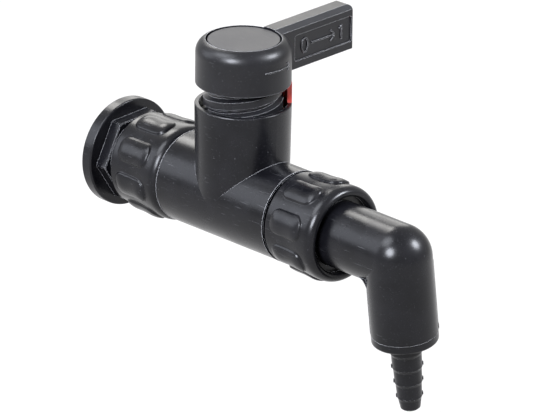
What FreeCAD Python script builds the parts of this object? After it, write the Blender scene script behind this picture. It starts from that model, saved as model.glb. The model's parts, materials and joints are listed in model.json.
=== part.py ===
import FreeCAD, Part
import math
import os

V = FreeCAD.Vector

# Drain cock in moulded plastic, millimetres, +Z up.
# The origin is the centre of the flange's back face. The pipe runs along +X, the stem stands
# along +Z and the lever points close to +Y.

# Clearances, how far a cut runs past a face and how far joined shapes lap
run_gap = 0.1
face_gap = 0.05
stop_gap = 0.3
past = 1.0
lap = 0.5

# Tank fitting: flange, hexagon and the spigot for the inlet nut
flange_r = 24.3
flange_t = 5.8
flange_edge = 0.8
hex_af = 36.0
hex_len = 5.6
hex_turn = 3.3
hex_edge = 0.35
socket_bore_r = 12.2
socket_depth = 14.0
socket_seal_r = 11.7
socket_seal_t = 2.0
fitting_bore_r = 9.0
thread_r = 17.3
neck_len = 3.2

# Union nuts, one at each end of the body, open end towards the flange
nut_len = 29.0
nut_base_r = 20.6
nut_lip_r = 21.5
nut_lip_flat = 2.2
nut_lip_round = 3.2
nut_lip_ramp = 3.5
nut_mouth_r = 18.8
nut_recess_r = 17.2
nut_recess_depth = 4.0
nut_mouth_bevel = 1.2
nut_wall = 3.0
nut_edge = 0.6
pad_count = 8
pad_r = 22.4
pad_len = 17.5
pad_arc = 28.0
pad_start = 3.5
pad_corner = 3.0
pad_round = 1.2
inlet_pad_turn = 30.5
outlet_pad_turn = 15.5

# Union joint inside a nut
spigot_in_nut = 13.0
gasket_t = 2.0
gasket_inner_r = 10.0
ring_from_shoulder = 3.8
ring_w = 3.6
ring_outer_r = 16.9
ring_groove_depth = 1.3
ring_gap_deg = 24.0

# Tee body
body_r = 20.5
barrel_in = 33.2
barrel_out = 33.9
outlet_shoulder_gap = 1.4
tower_x = 77.0
tower_h = 43.4
tower_foot_r = 20.45
tower_top_r = 21.15
tower_bore_r = 19.0
rim_edge = 0.5
rim_inner_edge = 0.4
shoulder_edge = 0.6
ledge_z = 26.0
tail_r = 14.65

# Waterways through the body
inlet_bore_r = 8.5
inlet_bore_len = 16.5
under_r = 6.8
under_z = -9.5
under_in = 17.0
port_r = 7.5
floor_z = 1.0
seat_h = 2.0
seat_w = 1.8
outlet_duct_r = 6.0
outlet_duct_start = 6.0
outlet_duct_z = 7.0
outlet_bore_start = 30.0
outlet_bore_r = 9.0

# Valve plug, which slides and doesn't turn
chamber_r = 13.4
plug_base_z = 6.0
plug_top_z = 23.0
plug_o_ring_z = 12.6
o_ring_section_r = 1.0
o_ring_groove_w = 2.4
key_r = 15.0
key_w = 4.0
key_len = 4.3
keyway_z = 18.5
pin_r = 6.0
pin_bottom_z = 11.0
clip_z = 15.0
clip_t = 1.2
clip_r = 7.8
clip_groove_r = 5.0
clip_gap_deg = 60.0
seat_washer_r = 10.4
seat_screw_r = 1.7
seat_screw_head_r = 4.6
seat_screw_head_h = 2.2
seat_screw_len = 3.6
thrust_t = 1.0
thrust_r = 11.0

# Spindle and its guide
spindle_root_r = 15.4
spindle_r = 17.3
spindle_neck_r = 12.5
thread_start_z = 26.5
thread_in_hub = 1.4
thread_lead = 13.5
thread_starts = 2
thread_phase = -75.3
ridge_root_w = 5.8
ridge_crest_w = 3.2
ridge_sunk = 0.6
guide_below_rim = 4.9
drive_af = 14.0
drive_top_gap = 1.5

# Handle: hub and lever
hub_r = 20.9
hub_above_rim = 9.2
hub_h = 20.4
hub_fillet = 6.2
hub_crown_drop = 0.4
hub_wall = 2.0
hub_inner_fillet = 1.5
hub_web_depth = 6.5
hub_floor_depth = 3.5
hub_foot = 0.4
cover_hole_r = 16.6
cover_gap = 0.76
cover_sunk = 0.7
cover_t = 1.6
cover_rim_w = 0.9
cover_edge = 0.35
cover_foot_inset = 0.3
drive_wall = 2.2
boss_lift = 2.4
spoke_lift = 2.0
spoke_turn = 30.0
lever_turn = 3.3
lever_reach = 65.0
lever_w = 10.6
lever_chamfer = 2.1
lever_end_round = 3.2
lever_corner = 1.6
lever_wall = 1.8
lever_rib_count = 3
lever_rib_t = 1.4
lever_rib_drop = 6.0
lever_roof = 2.7
panel_depth = 0.75
panel_start = 26.9
panel_end_margin = 1.5
panel_low = 3.4
panel_high = 15.4
panel_round = 1.0
hub_spoke_count = 6
hub_spoke_t = 1.4
handle_screw_r = 2.0
handle_screw_head_r = 4.4
handle_screw_head_h = 1.8
handle_screw_seat_depth = 6.0
handle_screw_len = 14.0
screw_slot_w = 1.0
screw_slot_depth = 1.0
washer_t = 0.8
washer_r = 5.2

# Red stop block on the tower's rim
stop_from_deg = 44.0
stop_to_deg = 142.6
stop_inner_r = 19.1
stop_tongue_t = 1.0
stop_tongue_len = 4.5
stop_tongue_inset = 25.0
stop_lap = 3.0

# Elbow
elbow_x = 173.5
elbow_down_len = 36.0
elbow_inner_round = 0.8
throat_reach = 0.35
throat_width = 0.95
elbow_swing = 7.1
elbow_bore_r = 9.0
elbow_socket_r = 12.0
elbow_socket_depth = 15.0
elbow_foot_edge = 0.4

# Hose tail
collar_r = 14.6
collar_t = 4.0
collar_edge = 1.1
tail_spigot_len = 13.0
tail_spigot_gap = 0.05
tail_o_ring_at = 8.0
barb_ridge_r = (7.1, 6.65, 6.15, 5.55)
barb_first = 5.3
barb_pitch = 7.2
barb_step = 0.45
barb_taper = 0.09
barb_bevel = 1.1
barb_tip_r = 4.4
barb_tip_len = 6.0
barb_tip_round = 0.7
barb_bore_r = 3.3

# Places worked out from the sizes above
hex_end = flange_t + hex_len
inlet_nut_x = hex_end + neck_len
barrel_start = tower_x - barrel_in
barrel_end = tower_x + barrel_out
outlet_nut_x = barrel_end + outlet_shoulder_gap
shoulder_s = nut_len - nut_recess_depth - nut_wall
tail_start_s = spigot_in_nut + gasket_t
seat_top_z = floor_z + seat_h
thrust_top_z = plug_top_z + thrust_t
guide_top_z = tower_h - guide_below_rim
hub_bottom_z = tower_h + hub_above_rim
stop_top_z = hub_bottom_z - stop_gap
thread_end_z = hub_bottom_z + thread_in_hub
hub_top_z = hub_bottom_z + hub_h
hub_web_z = hub_top_z - hub_web_depth
drive_top_z = hub_web_z - drive_top_gap
hub_floor_z = hub_top_z - hub_floor_depth
handle_screw_seat_z = hub_top_z - handle_screw_seat_depth
cover_top_z = hub_top_z - cover_sunk


def solid(shape):
    shape = shape.removeSplitter()
    return shape.Solids[0] if len(shape.Solids) == 1 else shape


def save(shape, name):
    shape.exportStep("parts/" + name + ".step")
    parts = shape.Solids
    print(name, len(parts), "solid(s)", round(shape.Volume, 1), "mm3", shape.isValid())


def x_cyl(r, x0, x1, y=0.0, z=0.0):
    return Part.makeCylinder(r, x1 - x0, V(x0, y, z), V(1, 0, 0))


def z_cyl(r, z0, z1, x=tower_x, y=0.0):
    return Part.makeCylinder(r, z1 - z0, V(x, y, z0), V(0, 0, 1))


def rod(r, a, b):
    return Part.makeCylinder(r, (b - a).Length, a, b - a)


def box(x0, x1, y0, y1, z0, z1):
    return Part.makeBox(x1 - x0, y1 - y0, z1 - z0, V(x0, y0, z0))


def x_ring(r_in, r_out, x0, x1):
    return x_cyl(r_out, x0, x1).cut(x_cyl(r_in, x0 - past, x1 + past))


def z_ring(r_in, r_out, z0, z1):
    return z_cyl(r_out, z0, z1).cut(z_cyl(r_in, z0 - past, z1 + past))


def wire_of(points):
    return Part.makePolygon(points + [points[0]])


def z_wedge(from_deg, to_deg, r, z0, z1):
    # Sector of a disc about the tower axis
    a = math.radians(from_deg)
    m = math.radians((from_deg + to_deg) / 2)
    b = math.radians(to_deg)
    far = r / math.cos((b - a) / 2)
    points = [V(tower_x, 0, z0)]
    points += [V(tower_x + far * math.cos(t), far * math.sin(t), z0) for t in (a, m, b)]
    return Part.Face(wire_of(points)).extrude(V(0, 0, z1 - z0))


def turned_x(shape, deg):
    out = shape.copy()
    out.rotate(V(0, 0, 0), V(1, 0, 0), deg)
    return out


def split_ring_x(r_in, r_out, x0, x1, gap_deg):
    ring = x_ring(r_in, r_out, x0, x1)
    half = (r_in + r_out) / 2 * math.sin(math.radians(gap_deg / 2))
    return ring.cut(box(x0 - past, x1 + past, -half, half, 0, r_out + past))


def hex_prism(af, x0, x1, turn):
    r = af / math.sqrt(3)
    corners = []
    for k in range(6):
        a = math.radians(turn + 60 * k)
        corners.append(V(x0, r * math.cos(a), r * math.sin(a)))
    return Part.Face(wire_of(corners)).extrude(V(x1 - x0, 0, 0))


def tank_fitting():
    flange = x_cyl(flange_r, 0, flange_t)
    rims = [e for e in flange.Edges if e.Closed and len(e.Vertexes) == 1]
    flange = flange.makeFillet(flange_edge, rims)
    hexagon = hex_prism(hex_af, flange_t - past, hex_end, hex_turn)
    seen = [e for e in hexagon.Edges if e.CenterOfMass.x > flange_t]
    hexagon = hexagon.makeChamfer(hex_edge, seen)
    spigot = x_cyl(thread_r, hex_end - past, inlet_nut_x + spigot_in_nut)
    fitting = flange.fuse([hexagon, spigot])
    fitting = fitting.cut(x_cyl(socket_bore_r, -1, socket_depth))
    fitting = fitting.cut(x_cyl(socket_seal_r, socket_depth - past, socket_depth + socket_seal_t))
    return solid(fitting.cut(x_cyl(fitting_bore_r, 0, inlet_nut_x + spigot_in_nut + past)))


def tank_socket_seal():
    return x_ring(fitting_bore_r, socket_seal_r - face_gap, socket_depth, socket_depth + socket_seal_t)


def grip_pad():
    # Rounded rectangle standing on the nut at the top of the Z axis, crowned like the nut
    half = pad_r * math.radians(pad_arc) / 2
    block = box(pad_start, pad_start + pad_len, -half, half, nut_base_r - past, pad_r + past)
    corners = [e for e in block.Edges if abs(e.Vertexes[0].X - e.Vertexes[-1].X) < 1e-6
               and abs(e.Vertexes[0].Y - e.Vertexes[-1].Y) < 1e-6]
    block = block.makeFillet(pad_corner, corners)
    block = block.common(x_cyl(pad_r, pad_start - past, pad_start + pad_len + past))
    crown = [f for f in block.Faces if isinstance(f.Surface, Part.Cylinder)
             and abs(f.Surface.Radius - pad_r) < 1e-6]
    return block.makeFillet(pad_round, crown[0].Edges)


def union_nut(x0, pad_turn):
    ramp_start = nut_len - nut_lip_round - nut_lip_flat - nut_lip_ramp
    lip_start = nut_len - nut_lip_round - nut_lip_flat
    round_start = nut_len - nut_lip_round
    a45 = math.sqrt(0.5)
    mid_s = round_start + nut_lip_round * a45
    mid_r = nut_mouth_r + (nut_lip_r - nut_mouth_r) * a45
    p = [V(0, 0, nut_base_r - nut_edge), V(nut_edge, 0, nut_base_r), V(ramp_start, 0, nut_base_r),
         V(lip_start, 0, nut_lip_r), V(round_start, 0, nut_lip_r), V(nut_len, 0, nut_mouth_r),
         V(nut_len - nut_mouth_bevel, 0, nut_recess_r), V(nut_len - nut_recess_depth, 0, nut_recess_r),
         V(nut_len - nut_recess_depth, 0, tail_r + run_gap), V(shoulder_s, 0, tail_r + run_gap),
         V(shoulder_s, 0, thread_r + run_gap), V(0, 0, thread_r + run_gap)]
    edges = []
    for i, start in enumerate(p):
        end = p[(i + 1) % len(p)]
        if i == 2:
            ramp = Part.BezierCurve()
            third = nut_lip_ramp / 2
            ramp.setPoles([start, V(start.x + third, 0, start.z), V(end.x - third, 0, end.z), end])
            edges.append(ramp.toShape())
        elif i == 4:
            edges.append(Part.Arc(start, V(mid_s, 0, mid_r), end).toShape())
        else:
            edges.append(Part.makeLine(start, end))
    shell = Part.Face(Part.Wire(edges)).revolve(V(0, 0, 0), V(1, 0, 0), 360)
    pad = grip_pad()
    pads = [turned_x(pad, k * 360.0 / pad_count + 90 - pad_turn) for k in range(pad_count)]
    nut = shell.fuse(pads)
    nut.translate(V(x0, 0, 0))
    return solid(nut)


def union_gasket(nut_x):
    x0 = nut_x + spigot_in_nut
    return x_ring(gasket_inner_r, tail_r, x0 + face_gap, x0 + gasket_t - face_gap)


def retaining_ring(nut_x):
    x0 = nut_x + shoulder_s - ring_from_shoulder
    inner_r = tail_r - ring_groove_depth + face_gap
    return split_ring_x(inner_r, ring_outer_r, x0, x0 + ring_w, ring_gap_deg)


def ring_groove(nut_x):
    x0 = nut_x + shoulder_s - ring_from_shoulder - face_gap
    return x_ring(tail_r - ring_groove_depth, tail_r + past, x0, x0 + ring_w + 2 * face_gap)


def waterways():
    inlet_end = inlet_nut_x + tail_start_s
    turn = V(inlet_end + inlet_bore_len, 0, 0)
    low = V(tower_x - under_in, 0, under_z)
    under = V(tower_x, 0, under_z)
    duct_top = V(tower_x + outlet_duct_start, 0, outlet_duct_z)
    duct_end = V(tower_x + outlet_bore_start, 0, 0)
    outlet_end = outlet_nut_x + spigot_in_nut
    ways = [x_cyl(inlet_bore_r, inlet_end - past, turn.x), Part.makeSphere(inlet_bore_r, turn),
            rod(under_r, turn, low), Part.makeSphere(under_r, low),
            rod(under_r, low, under), Part.makeSphere(under_r, under),
            z_cyl(port_r, under_z, floor_z + run_gap),
            rod(outlet_duct_r, duct_top, duct_end), Part.makeSphere(outlet_bore_r, duct_end),
            x_cyl(outlet_bore_r, duct_end.x, outlet_end + past)]
    return ways[0].fuse(ways[1:])


def valve_body():
    barrel = x_cyl(body_r, barrel_start, barrel_end)
    rims = [e for e in barrel.Edges if e.Closed and len(e.Vertexes) == 1]
    barrel = barrel.makeFillet(shoulder_edge, rims)
    tower = Part.makeCone(tower_foot_r, tower_top_r, tower_h, V(tower_x, 0, 0), V(0, 0, 1))
    top = [e for e in tower.Edges if abs(e.CenterOfMass.z - tower_h) < 1e-6 and e.Closed]
    tower = tower.makeFillet(rim_edge, top)
    tail = x_cyl(tail_r, inlet_nut_x + tail_start_s, barrel_start + past)
    spigot = x_cyl(thread_r, barrel_end - past, outlet_nut_x + spigot_in_nut)
    body = barrel.fuse([tower, tail, spigot])
    body = body.cut(ring_groove(inlet_nut_x))
    body = body.cut(z_cyl(tower_bore_r, ledge_z, tower_h + past))
    mouth_z = tower_h - rim_inner_edge
    body = body.cut(Part.makeCone(tower_bore_r, tower_bore_r + 2 * rim_inner_edge, 2 * rim_inner_edge,
                                  V(tower_x, 0, mouth_z), V(0, 0, 1)))
    chamber = z_cyl(chamber_r, floor_z, ledge_z + past)
    seat = z_ring(port_r, port_r + seat_w, floor_z, seat_top_z)
    key_half = key_w / 2 + run_gap
    reach = key_r + run_gap
    keyway = box(tower_x - key_half, tower_x + key_half, -reach, reach, keyway_z, ledge_z + past)
    body = body.cut(chamber.fuse(keyway))
    body = body.cut(waterways())
    seat_solid = seat.cut(waterways())
    return solid(body.fuse(seat_solid))


def tower_guide():
    return z_ring(spindle_r + run_gap, tower_bore_r - face_gap, ledge_z, guide_top_z)


def stop_block():
    wall = z_ring(stop_inner_r, tower_top_r - face_gap, tower_h, stop_top_z)
    wall = wall.common(z_wedge(stop_from_deg, stop_to_deg, tower_top_r + past, 0, hub_top_z))
    tongue_out = tower_bore_r - face_gap
    tongue = z_ring(tongue_out - stop_tongue_t, tongue_out, tower_h - stop_tongue_len, tower_h + stop_lap)
    link = z_ring(tongue_out - stop_tongue_t, stop_inner_r + lap, tower_h, tower_h + stop_lap)
    hook = tongue.fuse(link)
    hook = hook.common(z_wedge(stop_from_deg + stop_tongue_inset, stop_to_deg - stop_tongue_inset,
                               tower_top_r + past, 0, hub_top_z))
    return solid(wall.fuse(hook))


def valve_plug():
    barrel = z_cyl(chamber_r - run_gap, plug_base_z, plug_top_z)
    key_half = key_w / 2
    key = box(tower_x - key_half, tower_x + key_half, -key_r, key_r, plug_top_z - key_len, plug_top_z)
    plug = barrel.fuse(key)
    groove_r = chamber_r - 2 * o_ring_section_r - face_gap
    groove = z_ring(groove_r, chamber_r + past, plug_o_ring_z - o_ring_groove_w / 2,
                    plug_o_ring_z + o_ring_groove_w / 2)
    plug = plug.cut(groove)
    plug = plug.cut(z_cyl(pin_r + run_gap, pin_bottom_z - run_gap, plug_top_z + past))
    plug = plug.cut(z_cyl(clip_r + face_gap, clip_z - face_gap, clip_z + clip_t + face_gap))
    return solid(plug.cut(z_cyl(seat_screw_r, plug_base_z - past, plug_base_z + seat_screw_len)))


def o_ring_z(z, outer_r):
    return Part.makeTorus(outer_r - o_ring_section_r, o_ring_section_r, V(tower_x, 0, z), V(0, 0, 1))


def plug_o_ring():
    return o_ring_z(plug_o_ring_z, chamber_r - face_gap / 2)


def seat_washer():
    return z_ring(seat_screw_r, seat_washer_r, seat_top_z + face_gap, plug_base_z)


def seat_screw():
    z0 = seat_top_z + face_gap
    head = z_cyl(seat_screw_head_r, z0 - seat_screw_head_h, z0)
    shank = z_cyl(seat_screw_r, z0 - past, plug_base_z + seat_screw_len)
    slot = box(tower_x - seat_screw_head_r, tower_x + seat_screw_head_r, -screw_slot_w / 2, screw_slot_w / 2,
               z0 - seat_screw_head_h - past, z0 - seat_screw_head_h + screw_slot_depth)
    return solid(head.fuse(shank).cut(slot))


def spindle_clip():
    ring = z_ring(clip_groove_r + run_gap, clip_r, clip_z, clip_z + clip_t)
    half = clip_gap_deg / 2
    return ring.cut(z_wedge(-half, half, clip_r + past, clip_z - past, clip_z + clip_t + past))


def thrust_washer():
    return z_ring(pin_r + run_gap, thrust_r, plug_top_z, plug_top_z + thrust_t - face_gap)


def helical_ridge(start_deg):
    # One start of the coarse right-hand thread, its flanks run on into the core
    height = thread_end_z - thread_start_z + 2 * thread_lead / thread_starts
    z0 = thread_start_z - thread_lead / thread_starts
    helix = Part.makeHelix(thread_lead, height, spindle_root_r)
    slope = (ridge_root_w - ridge_crest_w) / 2 / (spindle_r - spindle_root_r)
    root = spindle_root_r - ridge_sunk
    low = ridge_root_w / 2 + slope * ridge_sunk
    high = ridge_crest_w / 2
    profile = wire_of([V(root, 0, -low), V(spindle_r, 0, -high), V(spindle_r, 0, high), V(root, 0, low)])
    sweep = Part.Wire(helix).makePipeShell([profile], True, True)
    sweep.rotate(V(0, 0, 0), V(0, 0, 1), start_deg)
    sweep.translate(V(tower_x, 0, z0))
    return sweep


def spindle():
    core = z_cyl(spindle_root_r, thread_start_z, thread_end_z)
    band = z_cyl(spindle_r + past, thread_start_z, thread_end_z)
    neck = z_cyl(spindle_neck_r, thrust_top_z, thread_start_z + past)
    pin = z_cyl(pin_r, pin_bottom_z, thrust_top_z + past)
    pin = pin.cut(z_ring(clip_groove_r, pin_r + past, clip_z - face_gap, clip_z + clip_t + face_gap))
    half = drive_af / 2
    drive = box(tower_x - half, tower_x + half, -half, half, thread_end_z - past, drive_top_z)
    stem = core.fuse([neck, pin, drive])
    ridges = [helical_ridge(thread_phase + 360.0 * k / thread_starts).common(band)
              for k in range(thread_starts)]
    stem = stem.fuse(ridges)
    screw_end = handle_screw_seat_z + washer_t - handle_screw_len - past
    stem = stem.cut(z_cyl(handle_screw_r, screw_end, drive_top_z + past))
    return turned_handle(solid(stem))


def lever_blank():
    half = lever_w / 2
    blade = box(tower_x - half, tower_x + half, 0, lever_reach, hub_bottom_z, hub_top_z)
    top_long = [e for e in blade.Edges if abs(e.CenterOfMass.z - hub_top_z) < 1e-6
                and abs(e.Vertexes[0].Y - e.Vertexes[-1].Y) > 1]
    blade = blade.makeChamfer(lever_chamfer, top_long)
    end_top = [e for e in blade.Edges if abs(e.CenterOfMass.z - hub_top_z) < 1e-6
               and abs(e.CenterOfMass.y - lever_reach) < 1e-6]
    blade = blade.makeFillet(lever_end_round, end_top)
    uprights = [e for e in blade.Edges if abs(e.CenterOfMass.y - lever_reach) < 1e-6
                and abs(e.Vertexes[0].X - e.Vertexes[-1].X) < 1e-6
                and abs(e.Vertexes[0].Z - e.Vertexes[-1].Z) > 5]
    return blade.makeFillet(lever_corner, uprights)


def lever_hollow():
    half = lever_w / 2 - lever_wall
    cavity = box(tower_x - half, tower_x + half, hub_r - hub_wall, lever_reach - lever_wall,
                 hub_bottom_z - past, hub_top_z - lever_roof)
    span = lever_reach - hub_r
    for k in range(1, lever_rib_count + 1):
        y = hub_r + span * k / (lever_rib_count + 1)
        rib = box(tower_x - half - past, tower_x + half + past, y - lever_rib_t / 2, y + lever_rib_t / 2,
                  hub_bottom_z + lever_rib_drop, hub_top_z)
        cavity = cavity.cut(rib)
    return cavity


def lever_panel(side):
    half = lever_w / 2
    x0 = tower_x + side * half
    x1 = x0 + side * past
    x2 = x0 - side * panel_depth
    inset = box(min(x1, x2), max(x1, x2), panel_start, lever_reach - panel_end_margin,
                hub_bottom_z + panel_low, hub_bottom_z + panel_high)
    corners = [e for e in inset.Edges if abs(e.Vertexes[0].X - e.Vertexes[-1].X) > panel_depth]
    return inset.makeFillet(panel_round, corners)


def hub_shell():
    # Hollow cup, open below; its rounded crown meets the cover's hole just under the lever's top
    inner = hub_r - hub_wall
    f = hub_fillet
    a45 = math.sqrt(0.5)
    crown_z = hub_top_z - hub_crown_drop + f - math.sqrt(f ** 2 - max(0.0, cover_hole_r - (hub_r - f)) ** 2)
    arc_mid = V(hub_r - f + f * a45, 0, crown_z - f + f * a45)
    outer = [Part.makeLine(V(0, 0, hub_bottom_z), V(hub_r - hub_foot, 0, hub_bottom_z)),
             Part.makeLine(V(hub_r - hub_foot, 0, hub_bottom_z), V(hub_r, 0, hub_bottom_z + hub_foot)),
             Part.makeLine(V(hub_r, 0, hub_bottom_z + hub_foot), V(hub_r, 0, crown_z - f)),
             Part.Arc(V(hub_r, 0, crown_z - f), arc_mid, V(hub_r - f, 0, crown_z)).toShape(),
             Part.makeLine(V(hub_r - f, 0, crown_z), V(0, 0, crown_z)),
             Part.makeLine(V(0, 0, crown_z), V(0, 0, hub_bottom_z))]
    cup = Part.Face(Part.Wire(outer)).revolve(V(0, 0, 0), V(0, 0, 1), 360)
    cup.translate(V(tower_x, 0, 0))
    hollow = z_cyl(inner, hub_bottom_z - past, hub_web_z)
    roof = [e for e in hollow.Edges if abs(e.CenterOfMass.z - hub_web_z) < 1e-6 and e.Closed]
    hollow = hollow.makeFillet(hub_inner_fillet, roof)
    return cup, hollow


def handle():
    cup, hollow = hub_shell()
    blade = lever_blank()
    core_half = drive_af / 2 + run_gap / 2
    boss_half = core_half + drive_wall
    boss_z = thread_end_z + run_gap + boss_lift
    boss = box(tower_x - boss_half, tower_x + boss_half, -boss_half, boss_half, boss_z, hub_web_z + past)
    spokes = []
    for k in range(hub_spoke_count):
        spoke = box(tower_x, tower_x + hub_r - hub_wall / 2, -hub_spoke_t / 2, hub_spoke_t / 2,
                    boss_z + spoke_lift, hub_web_z + past)
        spoke.rotate(V(tower_x, 0, 0), V(0, 0, 1), spoke_turn + 360.0 * k / hub_spoke_count)
        spokes.append(spoke)
    body = cup.fuse(blade)
    inside = hollow.cut(boss)
    for spoke in spokes:
        inside = inside.cut(spoke)
    body = body.cut(inside)
    body = body.cut(lever_hollow())
    body = body.cut(lever_panel(1))
    body = body.cut(lever_panel(-1))
    body = body.cut(z_cyl(cover_hole_r, hub_floor_z, hub_top_z + past))
    body = body.cut(box(tower_x - core_half, tower_x + core_half, -core_half, core_half,
                        boss_z - past, drive_top_z + run_gap))
    body = body.cut(z_cyl(handle_screw_r + run_gap, drive_top_z, hub_top_z))
    body = body.cut(z_cyl(washer_r + run_gap, handle_screw_seat_z, hub_top_z))
    return turned_handle(solid(body))


def turned_handle(shape):
    shape.rotate(V(tower_x, 0, 0), V(0, 0, 1), lever_turn)
    return shape


def cover_disc():
    r = cover_hole_r - cover_gap
    disc = z_cyl(r, cover_top_z - cover_t, cover_top_z)
    top = [e for e in disc.Edges if abs(e.CenterOfMass.z - cover_top_z) < 1e-6 and e.Closed]
    disc = disc.makeFillet(cover_edge, top)
    foot_r = r - cover_foot_inset
    foot = z_ring(foot_r - cover_rim_w, foot_r, hub_floor_z, cover_top_z - cover_t + lap)
    return solid(disc.fuse(foot))


def handle_screw_washer():
    z0 = handle_screw_seat_z
    return z_ring(handle_screw_r + run_gap, washer_r, z0, z0 + washer_t)


def handle_screw():
    z0 = handle_screw_seat_z + washer_t
    top = z0 + handle_screw_head_h
    head = z_cyl(handle_screw_head_r, z0, top)
    shank = z_cyl(handle_screw_r, z0 - handle_screw_len, z0 + lap)
    slot = box(tower_x - handle_screw_head_r, tower_x + handle_screw_head_r, -screw_slot_w / 2,
               screw_slot_w / 2, top - screw_slot_depth, top + past)
    return turned_handle(solid(head.fuse(shank).cut(slot)))


def swung(shape):
    # The elbow hangs a little away from straight down
    return turned_x(shape, elbow_swing)


def down_cyl(r, s0, s1):
    return Part.makeCylinder(r, s1 - s0, V(elbow_x, 0, -s0), V(0, 0, -1))


def elbow_throat():
    # Rounds the inside of the mitred corner: the innermost piece of a quarter bend
    bend_r = tail_r + elbow_inner_round
    x0 = elbow_x - bend_r
    circle = Part.Circle(V(x0, 0, 0), V(1, 0, 0), tail_r)
    bend = Part.Face(Part.Wire(circle.toShape())).revolve(V(x0, 0, -bend_r), V(0, 1, 0), 90)
    reach = elbow_inner_round + throat_reach * tail_r
    half = throat_width * tail_r
    return bend.common(box(x0, x0 + reach, -half, half, -bend_r, -bend_r + reach))


def elbow():
    arm_start = outlet_nut_x + tail_start_s
    arm = x_cyl(tail_r, arm_start, elbow_x)
    ball = Part.makeSphere(tail_r, V(elbow_x, 0, 0))
    down = down_cyl(tail_r, 0, elbow_down_len)
    foot = [e for e in down.Edges if abs(e.CenterOfMass.z + elbow_down_len) < 1e-6 and e.Closed]
    down = down.makeFillet(elbow_foot_edge, foot)
    pipe = arm.fuse(down).fuse(ball).fuse(elbow_throat())
    pipe = pipe.cut(ring_groove(outlet_nut_x))
    way = x_cyl(elbow_bore_r, arm_start - past, elbow_x)
    way = way.fuse(Part.makeSphere(elbow_bore_r, V(elbow_x, 0, 0)))
    way = way.fuse(down_cyl(elbow_bore_r, 0, elbow_down_len + past))
    pipe = pipe.cut(way)
    pipe = pipe.cut(down_cyl(elbow_socket_r, elbow_down_len - elbow_socket_depth, elbow_down_len + past))
    return swung(solid(pipe))


def barb_outline():
    # (s, r) pairs down the hose tail from the collar's foot to the tip
    s = elbow_down_len + collar_t
    points = [(s - lap, barb_ridge_r[0])]
    ridge_s = s + barb_first
    for k, ridge in enumerate(barb_ridge_r):
        points.append((ridge_s - barb_bevel, ridge - (0 if k == 0 else barb_taper)))
        points.append((ridge_s, ridge))
        points.append((ridge_s + barb_bevel, ridge - barb_step))
        ridge_s += barb_pitch
    tip_s = ridge_s - barb_pitch + barb_tip_len
    points.append((tip_s - barb_tip_round, barb_tip_r))
    points.append((tip_s, barb_tip_r - barb_tip_round))
    return points


def hose_tail():
    outline = barb_outline()
    tip_s = outline[-1][0]
    pts = [V(0, 0, -outline[0][0])] + [V(r, 0, -s) for s, r in outline] + [V(0, 0, -tip_s)]
    barb = Part.Face(wire_of(pts)).revolve(V(0, 0, 0), V(0, 0, 1), 360)
    barb.translate(V(elbow_x, 0, 0))
    collar = down_cyl(collar_r, elbow_down_len, elbow_down_len + collar_t)
    low = [e for e in collar.Edges if abs(e.CenterOfMass.z + elbow_down_len + collar_t) < 1e-6 and e.Closed]
    collar = collar.makeFillet(collar_edge, low)
    spigot_r = elbow_socket_r - tail_spigot_gap
    spigot = down_cyl(spigot_r, elbow_down_len - tail_spigot_len, elbow_down_len + lap)
    groove_s = tail_o_ring_s() - o_ring_groove_w / 2
    groove = down_cyl(spigot_r + past, groove_s, groove_s + o_ring_groove_w)
    groove = groove.cut(down_cyl(elbow_socket_r - 2 * o_ring_section_r - face_gap, 0, elbow_down_len))
    tail = barb.fuse([collar, spigot.cut(groove)])
    tail = tail.cut(down_cyl(barb_bore_r, 0, tip_s + past))
    funnel = Part.makeCone(elbow_bore_r, barb_bore_r, tail_spigot_len,
                           V(elbow_x, 0, -(elbow_down_len - tail_spigot_len)), V(0, 0, -1))
    return swung(solid(tail.cut(funnel)))


def tail_o_ring_s():
    return elbow_down_len - tail_o_ring_at


def hose_tail_o_ring():
    centre = V(elbow_x, 0, -tail_o_ring_s())
    r = elbow_socket_r - face_gap / 2 - o_ring_section_r
    return swung(Part.makeTorus(r, o_ring_section_r, centre, V(0, 0, 1)))


def main():
    os.makedirs("parts", exist_ok=True)
    save(tank_fitting(), "tank_fitting")
    save(tank_socket_seal(), "tank_socket_seal")
    save(union_nut(inlet_nut_x, inlet_pad_turn), "inlet_union_nut")
    save(union_gasket(inlet_nut_x), "inlet_union_gasket")
    save(retaining_ring(inlet_nut_x), "inlet_retaining_ring")
    save(valve_body(), "valve_body")
    save(tower_guide(), "tower_guide")
    save(stop_block(), "stop_block")
    save(valve_plug(), "valve_plug")
    save(plug_o_ring(), "plug_o_ring")
    save(seat_washer(), "seat_washer")
    save(seat_screw(), "seat_screw")
    save(spindle_clip(), "spindle_clip")
    save(thrust_washer(), "thrust_washer")
    save(spindle(), "spindle")
    save(handle(), "handle")
    save(cover_disc(), "cover_disc")
    save(handle_screw_washer(), "handle_screw_washer")
    save(handle_screw(), "handle_screw")
    save(union_nut(outlet_nut_x, outlet_pad_turn), "outlet_union_nut")
    save(union_gasket(outlet_nut_x), "outlet_union_gasket")
    save(swung(retaining_ring(outlet_nut_x)), "outlet_retaining_ring")
    save(elbow(), "elbow")
    save(hose_tail(), "hose_tail")
    save(hose_tail_o_ring(), "hose_tail_o_ring")


main()
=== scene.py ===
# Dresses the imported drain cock: moulded finishes, soft-edged union nuts, seams and marks,
# a pale floor and plain studio light. Lengths are in metres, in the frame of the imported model.
import json
import math
import bmesh
import bpy
from mathutils import Matrix, Vector


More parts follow.
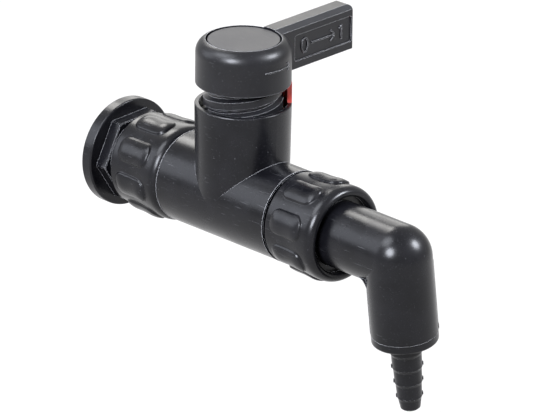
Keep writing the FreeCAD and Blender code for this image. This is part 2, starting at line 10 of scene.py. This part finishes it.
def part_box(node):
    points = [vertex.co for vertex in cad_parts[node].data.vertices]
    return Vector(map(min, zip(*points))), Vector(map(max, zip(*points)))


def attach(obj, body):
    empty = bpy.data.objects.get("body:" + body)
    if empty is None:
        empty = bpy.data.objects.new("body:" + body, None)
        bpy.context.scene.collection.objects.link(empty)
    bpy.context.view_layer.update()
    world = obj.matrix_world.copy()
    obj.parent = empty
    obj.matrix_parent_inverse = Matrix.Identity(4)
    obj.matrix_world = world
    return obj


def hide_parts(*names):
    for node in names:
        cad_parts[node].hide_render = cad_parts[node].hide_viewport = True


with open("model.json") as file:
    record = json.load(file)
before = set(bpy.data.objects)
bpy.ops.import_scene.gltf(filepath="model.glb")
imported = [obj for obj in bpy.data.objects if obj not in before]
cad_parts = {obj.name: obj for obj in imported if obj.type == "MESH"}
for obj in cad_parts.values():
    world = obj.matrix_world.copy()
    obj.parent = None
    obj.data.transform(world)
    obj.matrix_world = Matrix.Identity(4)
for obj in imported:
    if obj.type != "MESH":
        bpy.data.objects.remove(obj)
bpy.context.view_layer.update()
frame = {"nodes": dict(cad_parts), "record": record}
mm = 0.001


def linearColour(hexCode):
    channels = [int(hexCode[k:k + 2], 16) / 255 for k in (1, 3, 5)]
    return [c / 12.92 if c <= 0.04045 else ((c + 0.055) / 1.055) ** 2.4 for c in channels] + [1.0]


def addNode(tree, kind, inputs=None, **settings):
    node = tree.nodes.new("ShaderNode" + kind)
    for name, value in settings.items():
        setattr(node, name, value)
    for name, value in (inputs or {}).items():
        if isinstance(value, bpy.types.NodeSocket):
            tree.links.new(value, node.inputs[name])
        else:
            node.inputs[name].default_value = value
    return node


def newMaterial(name):
    material = bpy.data.materials.new(name)
    material.use_nodes = True
    tree = material.node_tree
    tree.nodes.clear()
    return material, tree


def perMm(size):
    return 1 / (size * mm)  # texture scale for a pattern whose features are that many millimetres


def closedMesh(name, verts, faces):
    # Faces are turned to point outwards, whichever way round they were listed
    mesh = bpy.data.meshes.new(name)
    mesh.from_pydata(verts, [], faces)
    shape = bmesh.new()
    shape.from_mesh(mesh)
    bmesh.ops.recalc_face_normals(shape, faces=shape.faces)
    shape.to_mesh(mesh)
    shape.free()
    return mesh


# Moulded thermoplastics. The base is the pigment; clouds are flow marks from the gate, grain is
# the spark-eroded mould, and scuffs and specks are what handling leaves on it.
def mouldedPlastic(name, look):
    material, tree = newMaterial(name)
    place = addNode(tree, "TexCoord").outputs["Object"]
    cloud = addNode(tree, "TexNoise", {"Vector": place, "Scale": perMm(look["cloudMm"]), "Detail": 3.0})
    grain = addNode(tree, "TexNoise", {"Vector": place, "Scale": perMm(look["grainMm"]), "Detail": 2.0})
    sink = addNode(tree, "TexNoise", {"Vector": place, "Scale": perMm(look["sinkMm"]), "Detail": 1.0})
    scuffs = None
    for turn in look["scuffTurns"]:
        along = addNode(tree, "Mapping", {"Vector": place, "Rotation": turn,
                                          "Scale": (perMm(look["scuffLong"]), perMm(look["scuffWide"]),
                                                    perMm(look["scuffWide"]))})
        streak = addNode(tree, "TexNoise", {"Vector": along.outputs["Vector"], "Scale": 1.0, "Detail": 1.0})
        line = addNode(tree, "MapRange", {"Value": streak.outputs["Fac"], "From Min": look["scuffFrom"],
                                          "From Max": look["scuffTo"]})
        if scuffs is None:
            scuffs = line.outputs["Result"]
        else:
            both = addNode(tree, "Math", {0: scuffs, 1: line.outputs["Result"]}, operation="MAXIMUM")
            scuffs = both.outputs["Value"]
    specks = addNode(tree, "TexNoise", {"Vector": place, "Scale": perMm(look["speckMm"]), "Detail": 0.0})
    dots = addNode(tree, "MapRange", {"Value": specks.outputs["Fac"], "From Min": look["speckFrom"],
                                      "From Max": look["speckTo"]})
    tone = addNode(tree, "MapRange", {"Value": cloud.outputs["Fac"], "From Min": look["toneFrom"],
                                      "From Max": look["toneTo"]})
    body = addNode(tree, "MixRGB", {"Fac": tone.outputs["Result"], "Color1": linearColour(look["base"]),
                                    "Color2": linearColour(look["clouded"])})
    marks = addNode(tree, "Math", {0: scuffs, 1: dots.outputs["Result"]}, operation="MAXIMUM")
    share = addNode(tree, "Math", {0: marks.outputs["Value"], 1: look["scuffShare"]}, operation="MULTIPLY")
    colour = addNode(tree, "MixRGB", {"Fac": share.outputs["Value"], "Color1": body.outputs["Color"],
                                      "Color2": linearColour(look["scuffed"])})
    dull = addNode(tree, "MapRange", {"Value": cloud.outputs["Fac"], "From Min": look["dullFrom"],
                                      "From Max": look["dullTo"], "To Min": look["roughLow"],
                                      "To Max": look["roughHigh"]})
    sinkBump = addNode(tree, "Bump", {"Height": sink.outputs["Fac"], "Distance": look["sinkDepth"] * mm,
                                      "Strength": 1.0})
    grainBump = addNode(tree, "Bump", {"Height": grain.outputs["Fac"], "Distance": look["grainDepth"] * mm,
                                       "Strength": 1.0, "Normal": sinkBump.outputs["Normal"]})
    # Painted highlight: where the bevelled normal turns away from the surface normal, on edges and in creases, the
    # colour is mixed towards a light grey that stands in for light catching them
    soft = addNode(tree, "Bevel", {"Radius": look["edgeMm"] * mm}, samples=4)
    flat = addNode(tree, "NewGeometry")
    bend = addNode(tree, "VectorMath", {0: soft.outputs["Normal"], 1: flat.outputs["Normal"]},
                   operation="DOT_PRODUCT")
    edge = addNode(tree, "MapRange", {"Value": bend.outputs["Value"], "From Min": look["edgeTo"],
                                      "From Max": look["edgeFrom"], "To Min": look["edgeHighlightShare"], "To Max": 0.0})
    edgeHighlighted = addNode(tree, "MixRGB", {"Fac": edge.outputs["Result"], "Color1": colour.outputs["Color"],
                                    "Color2": linearColour(look["edgeHighlightColour"])})
    shader = addNode(tree, "BsdfPrincipled", {"Base Color": edgeHighlighted.outputs["Color"], "IOR": look["ior"],
                                              "Specular IOR Level": look["shine"],
                                              "Roughness": dull.outputs["Result"],
                                              "Normal": grainBump.outputs["Normal"]})
    addNode(tree, "OutputMaterial", {"Surface": shader.outputs["BSDF"]})
    return material


# Black polypropylene, injection moulded in a fine-grained tool: a satin black whose highlights
# spread into soft grey bands, a little greyer where the melt front met
satinBlack = {
    "base": "#09090c", "clouded": "#111114", "cloudMm": 14.0, "toneFrom": 0.35, "toneTo": 0.65,
    "grainMm": 0.55, "grainDepth": 0.012,  # real grain is about 0.1 mm, drawn coarser so that it shows
    "sinkMm": 9.0, "sinkDepth": 0.05,
    "scuffTurns": [(0.3, 0.9, 0.4), (1.2, -0.5, 1.9)], "scuffLong": 9.0, "scuffWide": 0.35,
    "scuffFrom": 0.72, "scuffTo": 0.80, "scuffShare": 0.35, "scuffed": "#6a6a6c",
    "edgeMm": 0.22, "edgeFrom": 0.97, "edgeTo": 0.88, "edgeHighlightShare": 0.85, "edgeHighlightColour": "#c4c4c6",  # painted highlight along edges and creases
    "speckMm": 1.0, "speckFrom": 0.84, "speckTo": 0.90, "dullFrom": 0.3, "dullTo": 0.7,
    "roughLow": 0.22, "roughHigh": 0.30, "ior": 1.49, "shine": 0.25,
}
# The handle's polypropylene, moulded with a duller face: its highlights are wider and softer than the body's
handleBlack = dict(satinBlack, base="#0b0b0e", roughLow=0.32, roughHigh=0.40, shine=0.31)
# The cover disc has a dull spark grain that scatters the light evenly
coverBlack = dict(satinBlack, base="#1c1c1f", clouded="#212124", roughLow=0.40, roughHigh=0.46,
                  grainMm=0.45, grainDepth=0.02, sinkDepth=0.01)
# Black acetal, moulded: a little greyer and drier than the body, so that the stem's thread shows
acetalBlack = dict(satinBlack, base="#151517", clouded="#19191b", roughLow=0.25, roughHigh=0.33, ior=1.48)
# Natural acetal, moulded: milky white with a waxy shine
acetalNatural = dict(satinBlack, base="#dedbd2", clouded="#e6e3da", scuffed="#b8b5ac", edgeHighlightColour="#efece4",
                     roughLow=0.30, roughHigh=0.38, ior=1.48)
# Red ABS, moulded semi-gloss: a flat signal red, the one bright spot under the lever
absRed = dict(satinBlack, base="#e9574e", clouded="#ec6259", scuffed="#e08b84", edgeHighlightColour="#e8a09a", roughLow=0.24,
              roughHigh=0.30, ior=1.54)
# EPDM rubber, pressed: dead black with hardly any shine
rubberBlack = dict(satinBlack, base="#161616", clouded="#1c1c1c", roughLow=0.62, roughHigh=0.72, ior=1.52)

plastics = {
    "black_polypropylene": ("polypropyleneMouldedSatin", satinBlack),
    "handle_polypropylene": ("polypropyleneMouldedHandle", handleBlack),
    "cover_polypropylene": ("polypropyleneMouldedGrained", coverBlack),
    "black_acetal": ("acetalMouldedBlack", acetalBlack),
    "natural_acetal": ("acetalMouldedNatural", acetalNatural),
    "red_abs": ("absMouldedRed", absRed),
    "epdm_rubber": ("epdmPressedRubber", rubberBlack),
}

# Stainless steel, turned: fine rings round the axis break the shine into a soft cross-glow
steel = {"colour": "#c9c8c5", "roughLow": 0.22, "roughHigh": 0.36, "ringMm": 0.5, "ringDepth": 0.01,
         "waves": 20, "wobble": 1.5}  # the wave texture draws about 20 radians of wave to a unit of scale


def turnedSteel(name, look):
    material, tree = newMaterial(name)
    place = addNode(tree, "TexCoord").outputs["Object"]
    rings = addNode(tree, "TexWave", {"Vector": place, "Scale": perMm(look["ringMm"]) / look["waves"],
                                      "Distortion": look["wobble"]}, wave_type="RINGS", rings_direction="Z")
    rough = addNode(tree, "MapRange", {"Value": rings.outputs["Fac"], "To Min": look["roughLow"],
                                       "To Max": look["roughHigh"]})
    bump = addNode(tree, "Bump", {"Height": rings.outputs["Fac"], "Distance": look["ringDepth"] * mm})
    shader = addNode(tree, "BsdfPrincipled", {"Base Color": linearColour(look["colour"]), "Metallic": 1.0,
                                              "Roughness": rough.outputs["Result"],
                                              "Normal": bump.outputs["Normal"]})
    addNode(tree, "OutputMaterial", {"Surface": shader.outputs["BSDF"]})
    return material


materials = {slot: mouldedPlastic(name, look) for slot, (name, look) in plastics.items()}
materials["stainless_steel"] = turnedSteel("stainlessTurned", steel)
slotOf = {entry["node"]: entry["material_slot"] for entry in frame["record"]["subparts"]}
for nodeName, node in frame["nodes"].items():
    node.data.materials.clear()
    node.data.materials.append(materials[slotOf[nodeName]])
print("materials done:", len(materials))


# Union nuts: a moulded skin in the CAD nut's place, with pillowed grip pads like barrel staves, which
# step up at their edges and roll over at their ends, and a wall that flares and rolls into the mouth
nutLook = {
    "baseR": 20.6, "edge": 0.6, "edgeMid": (0.2, 0.35), "length": 29.0, "rampFrom": 11.0, "beadFrom": 24.4,
    "beadTo": 24.8, "beadR": 21.5, "innerShare": 0.35, "outerSteps": 12, "innerSteps": 8,
    "mouthR": 17.2, "mouthDepth": 1.5, "recessTo": 25.0, "ringHoleR": 14.75, "ringHoleTo": 22.0, "boreR": 17.4,
    "pads": 8, "padFrom": 2.9, "padLong": 19.6, "padWide": 11.6, "padCorner": 4.8, "padStep": 0.5,
    "padCrown": 1.25, "padEdge": 0.7, "padEnd": 6.0, "padRoll": 2.5, "columns": 64, "row": 0.25, "sharpDegrees": 75.0,
}
nuts = {
    "inlet_union_nut": {"body": "inlet_nut", "turn": 30.5},
    "outlet_union_nut": {"body": "outlet_nut", "turn": 15.5},
}


def easeInOut(t):
    t = min(max(t, 0.0), 1.0)
    return t * t * (3 - 2 * t)


def padHeight(look, s, v):
    # How far the skin stands proud at s along the nut and v round it from a pad's middle
    halfLong = look["padLong"] / 2
    halfWide = look["padWide"] / 2
    along = abs(s - look["padFrom"] - halfLong)
    du = along - halfLong + look["padCorner"]
    dv = abs(v) - halfWide + look["padCorner"]
    inside = look["padCorner"] - math.hypot(max(du, 0), max(dv, 0)) - min(max(du, dv), 0)
    if inside <= 0:
        return 0.0
    stave = 1 - (v / halfWide) ** 2
    roll = 1 - max(0.0, 1 - (halfLong - along) / look["padEnd"]) ** look["padRoll"]
    return easeInOut(inside / look["padEdge"]) * (look["padStep"] + look["padCrown"] * stave * roll)


def nutProfile(look):
    # (s, r) pairs from the closed end over the outside, round the mouth and back through the bore
    midAlong, midDown = look["edgeMid"]
    points = [(0.0, look["baseR"] - look["edge"]),
              (midAlong * look["edge"], look["baseR"] - midDown * look["edge"]), (look["edge"], look["baseR"])]
    s = look["edge"] + look["row"]
    while s < look["beadTo"]:
        rise = easeInOut((s - look["rampFrom"]) / (look["beadFrom"] - look["rampFrom"]))
        points.append((s, look["baseR"] + (look["beadR"] - look["baseR"]) * rise))
        s += look["row"]
    outerCount = len(points)
    long = look["length"] - look["beadTo"]
    deep = look["beadR"] - look["mouthR"]
    inner = look["innerShare"]
    for k in range(look["outerSteps"] + 1):
        a = math.radians(90 * k / look["outerSteps"])
        points.append((look["beadTo"] + long * math.sin(a),
                       look["mouthR"] + deep * (inner + (1 - inner) * math.cos(a))))
    for k in range(1, look["innerSteps"] + 1):
        a = math.radians(90 * k / look["innerSteps"])
        points.append((look["length"] - look["mouthDepth"] * (1 - math.cos(a)),
                       look["mouthR"] + inner * deep * (1 - math.sin(a))))
    points += [(look["recessTo"], look["mouthR"]), (look["recessTo"], look["ringHoleR"]),
               (look["ringHoleTo"], look["ringHoleR"]), (look["ringHoleTo"], look["boreR"]), (0.0, look["boreR"])]
    return points, outerCount


def nutSkin(nodeName, place, look):
    x0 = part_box(nodeName)[0][0]
    profile, outerCount = nutProfile(look)
    columns = look["pads"] * look["columns"]
    step = 2 * math.pi / columns
    start = math.radians(90 - place["turn"])
    verts = []
    for ring, (s, r) in enumerate(profile):
        for k in range(columns):
            offset = (k % look["columns"] - look["columns"] / 2) * step
            proud = padHeight(look, s, offset * look["baseR"]) if ring < outerCount else 0.0
            a = start + (k - look["columns"] / 2) * step
            verts.append((x0 + s * mm, -(r + proud) * mm * math.sin(a), (r + proud) * mm * math.cos(a)))
    faces = []
    for ring in range(len(profile)):
        after = (ring + 1) % len(profile)
        for k in range(columns):
            nextK = (k + 1) % columns
            faces.append((ring * columns + k, ring * columns + nextK, after * columns + nextK, after * columns + k))
    mesh = closedMesh(nodeName + "Skin", verts, faces)
    mesh.shade_smooth()
    mesh.set_sharp_from_angle(angle=math.radians(look["sharpDegrees"]))
    skin = bpy.data.objects.new(nodeName + "Skin", mesh)
    bpy.context.scene.collection.objects.link(skin)
    mesh.materials.append(materials["black_polypropylene"])
    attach(skin, place["body"])
    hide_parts(nodeName)


for nutName, nutPlace in nuts.items():
    nutSkin(nutName, nutPlace, nutLook)
print("union nut skins done:", len(nuts))


# Moulded relief: strokes that stand up from a surface with sloping sides. Each stroke is a line of
# (across, up) points in millimetres, laid on its surface by a place function
strokeFoot = 0.5
strokeCrest = 0.28  # shares of a stroke's width, from its middle line


def addStroke(verts, faces, line, closed, look, place):
    first = len(verts)
    count = len(line)
    for k, (u, w) in enumerate(line):
        before = line[k - 1] if k > 0 or closed else line[k]
        after = line[(k + 1) % count] if k < count - 1 or closed else line[k]
        run = Vector((after[0] - before[0], after[1] - before[1])).normalized()
        side = Vector((-run.y, run.x))
        for share, rise in ((-strokeFoot, -look["sunk"]), (-strokeCrest, look["rise"]),
                            (strokeCrest, look["rise"]), (strokeFoot, -look["sunk"])):
            verts.append(place(u + side.x * share * look["wide"], w + side.y * share * look["wide"], rise))
    for k in range(count if closed else count - 1):
        a = first + 4 * k
        b = first + 4 * ((k + 1) % count)
        faces.extend((a + j, b + j, b + (j + 1) % 4, a + (j + 1) % 4) for j in range(4))
    if not closed:
        faces.append((first + 3, first + 2, first + 1, first))
        last = first + 4 * (count - 1)
        faces.append((last, last + 1, last + 2, last + 3))


def reliefPiece(name, strokes, look, place, body, slot):
    verts = []
    faces = []
    for line, closed in strokes:
        addStroke(verts, faces, line, closed, look, place)
    mesh = closedMesh(name, verts, faces)
    mesh.materials.append(materials[slot])
    piece = bpy.data.objects.new(name, mesh)
    bpy.context.scene.collection.objects.link(piece)
    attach(piece, body)


def ellipseLine(u, w, halfU, halfW, count):
    turns = [2 * math.pi * k / count for k in range(count)]
    return [(u + halfU * math.cos(t), w + halfW * math.sin(t)) for t in turns]


# Marks on the lever's two side panels, 0 and 1 with an arrow between them
leverMarks = {"towerX": 77.0, "turn": 3.3, "halfWide": 5.3, "panelDepth": 0.75, "middle": (45.2, 62.0), "high": 6.4,
              "zero": -11.5, "zeroHalf": 1.9, "zeroPoints": 20, "arrowFrom": -7.0, "arrowTo": 7.5,
              "arrowHead": 2.4, "shaftShort": 0.4, "one": 12.0, "oneFlag": 1.4, "wide": 1.15, "rise": 0.5,
              "sunk": 0.15}
# Arc arrow on the hub's wall, the way that opens the cock
hubMarks = {"towerX": 77.0, "radius": 20.9, "turn": 3.3, "from": -20.0, "to": 22.0, "height": 63.2, "head": 1.9,
            "headAhead": 0.3, "pieces": 14, "wide": 0.95, "rise": 0.32, "sunk": 0.2}


def placeOnLever(look, side):
    turn = Matrix.Rotation(math.radians(look["turn"]), 3, "Z")
    axis = Vector((look["towerX"], 0.0, 0.0))

    def place(u, w, rise):
        out = look["halfWide"] - look["panelDepth"] + rise
        spot = Vector((side * out, look["middle"][0] + side * u, look["middle"][1] + w))
        return tuple((axis + turn @ spot) * mm)
    return place


def leverStrokes(look):
    half = look["high"] / 2
    tip = look["arrowTo"]
    head = look["arrowHead"]
    return [(ellipseLine(look["zero"], 0.0, look["zeroHalf"], half, look["zeroPoints"]), True),
            ([(look["arrowFrom"], 0.0), (tip - look["shaftShort"], 0.0)], False),
            ([(tip - head, head), (tip, 0.0), (tip - head, -head)], False),
            ([(look["one"] - look["oneFlag"], half - look["oneFlag"]), (look["one"], half),
              (look["one"], -half)], False)]


def hubStrokes(look):
    size = look["radius"] * math.radians(1)
    start = look["from"] * size
    end = look["to"] * size
    step = (end - start) / look["pieces"]
    head = look["head"]
    return [([(start + step * k, 0.0) for k in range(look["pieces"] + 1)], False),
            ([(end - head, head), (end + look["headAhead"], 0.0), (end - head, -head)], False)]


def placeOnHub(u, w, rise):
    a = math.radians(hubMarks["turn"]) + u / hubMarks["radius"]
    r = hubMarks["radius"] + rise
    return ((hubMarks["towerX"] + r * math.cos(a)) * mm, r * math.sin(a) * mm, (hubMarks["height"] + w) * mm)


for sideName, side in (("Right", 1), ("Left", -1)):
    reliefPiece("leverMarks" + sideName, leverStrokes(leverMarks), leverMarks, placeOnLever(leverMarks, side),
                "handle", "handle_polypropylene")
reliefPiece("hubArrow", hubStrokes(hubMarks), hubMarks, placeOnHub, "handle", "handle_polypropylene")

# Flash where the two halves of the mould met: a fine ridge down the elbow's leg on both sides, a nib at
# its foot, and nibs on the ridges of the hose tail
elbowFlash = {"x": 173.5, "swing": 7.1, "legR": 14.65, "facing": 50.0, "legFrom": 3.0, "legTo": 35.2, "points": 12,
              "wide": 0.5, "rise": 0.14, "sunk": 0.3}
tailFlash = {"ridges": ((45.3, 7.1), (52.5, 6.65), (59.7, 6.15), (66.9, 5.55)), "long": 1.5, "past": 0.2,
             "wide": 0.9, "rise": 0.38, "sunk": 0.5}
footNib = {"from": 33.6, "to": 36.0, "wide": 1.1, "rise": 0.3, "sunk": 0.4}


def placeOnLeg(radius, facing):
    turn = Matrix.Rotation(math.radians(elbowFlash["swing"]), 3, "X")
    axis = Vector((elbowFlash["x"], 0.0, 0.0))

    def place(u, w, rise):
        a = math.radians(facing) + u / radius
        spot = Vector(((radius + rise) * math.cos(a), (radius + rise) * math.sin(a), -w))
        return tuple((axis + turn @ spot) * mm)
    return place


flashSides = (elbowFlash["facing"], elbowFlash["facing"] + 180)
legStep = (elbowFlash["legTo"] - elbowFlash["legFrom"]) / elbowFlash["points"]
legLine = [(0.0, elbowFlash["legFrom"] + legStep * k) for k in range(elbowFlash["points"] + 1)]
for k, facing in enumerate(flashSides):
    reliefPiece("elbowFlash%d" % k, [(legLine, False)], elbowFlash, placeOnLeg(elbowFlash["legR"], facing), "elbow",
                "black_polypropylene")
    for j, (s, r) in enumerate(tailFlash["ridges"]):
        nib = [(0.0, s - tailFlash["long"]), (0.0, s + tailFlash["past"])]
        reliefPiece("tailFlash%d_%d" % (k, j), [(nib, False)], tailFlash, placeOnLeg(r, facing), "elbow",
                    "black_polypropylene")
reliefPiece("footNib", [([(0.0, footNib["from"]), (0.0, footNib["to"])], False)], footNib,
            placeOnLeg(elbowFlash["legR"], elbowFlash["facing"]), "elbow", "black_polypropylene")

# The rim that stands up a little round each end of the barrel, beside the gap to the nut
barrelRims = {"inlet": 43.8, "outlet": 110.9, "inset": 0.22, "radius": 20.5, "points": 96, "wide": 0.46,
              "rise": 0.1, "sunk": 0.7}


def placeOnBarrel(side, end):
    def place(u, w, rise):
        r = barrelRims["radius"] + rise
        a = u / barrelRims["radius"]
        x = end + side * (w + barrelRims["inset"])
        return (x * mm, r * math.sin(a) * mm, r * math.cos(a) * mm)
    return place


rimStep = 2 * math.pi * barrelRims["radius"] / barrelRims["points"]
for endName, side in (("inlet", 1), ("outlet", -1)):
    rimLine = [(rimStep * k, 0.0) for k in range(barrelRims["points"])]
    reliefPiece(endName + "Rim", [(rimLine, True)], barrelRims, placeOnBarrel(side, barrelRims[endName]), "valve",
                "black_polypropylene")
print("relief and flash done")


# Camera at the photograph's angle, a long way off with a long lens, which is what its
# parallel edges ask for
view = {"azimuth": 46.0, "elevation": 21.5, "roll": 0.63, "distance": 3.158, "lens": 475.9,
        "sensor": 36.0, "aim": (0.077, 0.0, 0.0), "right": 0.014214, "up": -0.004666, "clipEnd": 30}


def placeCamera(look):
    a = math.radians(look["azimuth"])
    e = math.radians(look["elevation"])
    toCamera = Vector((math.sin(a) * math.cos(e), -math.cos(a) * math.cos(e), math.sin(e)))
    right = Vector((math.cos(a), math.sin(a), 0))
    up = toCamera.cross(right)
    turn = Matrix.Rotation(math.radians(look["roll"]), 3, toCamera)
    right = turn @ right
    up = turn @ up
    target = Vector(look["aim"]) + right * look["right"] + up * look["up"]
    camera = bpy.data.objects.new("camera", bpy.data.cameras.new("camera"))
    bpy.context.scene.collection.objects.link(camera)
    camera.data.lens = look["lens"]
    camera.data.sensor_width = look["sensor"]
    camera.data.clip_end = look["clipEnd"]
    axes = Matrix((right, up, toCamera)).transposed().to_4x4()
    camera.matrix_world = Matrix.Translation(target + toCamera * look["distance"]) @ axes
    bpy.context.scene.camera = camera


placeCamera(view)

# Studio light: softboxes in front on both sides, wide ones low on the left, above and low behind, and
# a tight one behind that lights the top edges
lamps = {
    "frontLeft": {"towards": (0.226, -0.829, 0.509), "away": 1.1, "size": 0.48, "power": 25.0, "colour": "#f0f4ff"},
    "frontRight": {"towards": (0.628, 0.490, 0.604), "away": 1.1, "size": 0.40, "power": 20.5, "colour": "#f2f6ff"},
    "leftLow": {"towards": (-0.72, -0.58, 0.38), "away": 1.2, "size": 0.7, "power": 4.5, "colour": "#eef3ff"},
    "topSoft": {"towards": (-0.27, -0.50, 0.82), "away": 1.2, "size": 0.7, "power": 11.5, "colour": "#f2f6ff"},
    "backTop": {"towards": (-0.67, 0.26, 0.69), "away": 1.2, "size": 0.40, "power": 5.0, "colour": "#fffdfa"},
    "backLow": {"towards": (-0.67, 0.64, 0.38), "away": 1.2, "size": 0.7, "power": 2.8, "colour": "#fffdfa"},
}
middle = Vector((0.09, 0.0, 0.0))


def placeLamp(name, look):
    light = bpy.data.lights.new(name, "AREA")
    light.shape = "DISK"
    light.size = look["size"]
    light.energy = look["power"]
    light.color = linearColour(look["colour"])[:3]
    lamp = bpy.data.objects.new(name, light)
    bpy.context.scene.collection.objects.link(lamp)
    towards = Vector(look["towards"]).normalized()
    lamp.location = middle + towards * look["away"]
    lamp.rotation_euler = towards.to_track_quat("Z", "Y").to_euler()


for lampName, lampLook in lamps.items():
    placeLamp(lampName, lampLook)

# Floor and surround: plain and pale. The floor's own glow is only seen, so it comes out white and keeps
# the object's soft shadow, without lighting the object from below
floorLook = {"drop": 0.082, "half": 4.0, "colour": "#6c6a68", "lift": 0.76}
surround = {"seen": 0.95, "fill": 0.18}


def seenDirectly(tree):
    # 1 for the camera and for reflections and refractions, 0 for the light that falls on the object
    path = addNode(tree, "LightPath")
    direct = addNode(tree, "Math", {0: path.outputs["Is Camera Ray"], 1: path.outputs["Is Glossy Ray"]},
                     operation="MAXIMUM")
    seen = addNode(tree, "Math", {0: direct.outputs["Value"], 1: path.outputs["Is Transmission Ray"]},
                   operation="MAXIMUM")
    return seen.outputs["Value"]


def placeFloor(look):
    mesh = bpy.data.meshes.new("floor")
    h = look["half"]
    z = -look["drop"]
    mesh.from_pydata([(-h, -h, z), (h, -h, z), (h, h, z), (-h, h, z)], [], [(0, 1, 2, 3)])
    floor = bpy.data.objects.new("floor", mesh)
    bpy.context.scene.collection.objects.link(floor)
    material, tree = newMaterial("paperPale")
    lit = addNode(tree, "BsdfDiffuse", {"Color": linearColour(look["colour"])})
    lift = addNode(tree, "Math", {0: seenDirectly(tree), 1: look["lift"]}, operation="MULTIPLY")
    glow = addNode(tree, "Emission", {"Strength": lift.outputs["Value"]})
    both = addNode(tree, "AddShader", {0: lit.outputs["BSDF"], 1: glow.outputs["Emission"]})
    addNode(tree, "OutputMaterial", {"Surface": both.outputs["Shader"]})
    floor.data.materials.append(material)


def placeSurround(look):
    world = bpy.data.worlds.new("surround")
    bpy.context.scene.world = world
    world.use_nodes = True
    tree = world.node_tree
    tree.nodes.clear()
    level = addNode(tree, "MapRange", {"Value": seenDirectly(tree), "To Min": look["fill"], "To Max": look["seen"]})
    glow = addNode(tree, "Background", {"Strength": level.outputs["Result"]})
    addNode(tree, "OutputWorld", {"Surface": glow.outputs["Background"]})


placeFloor(floorLook)
placeSurround(surround)
bpy.context.scene.view_settings.view_transform = "Standard"
print("studio done")
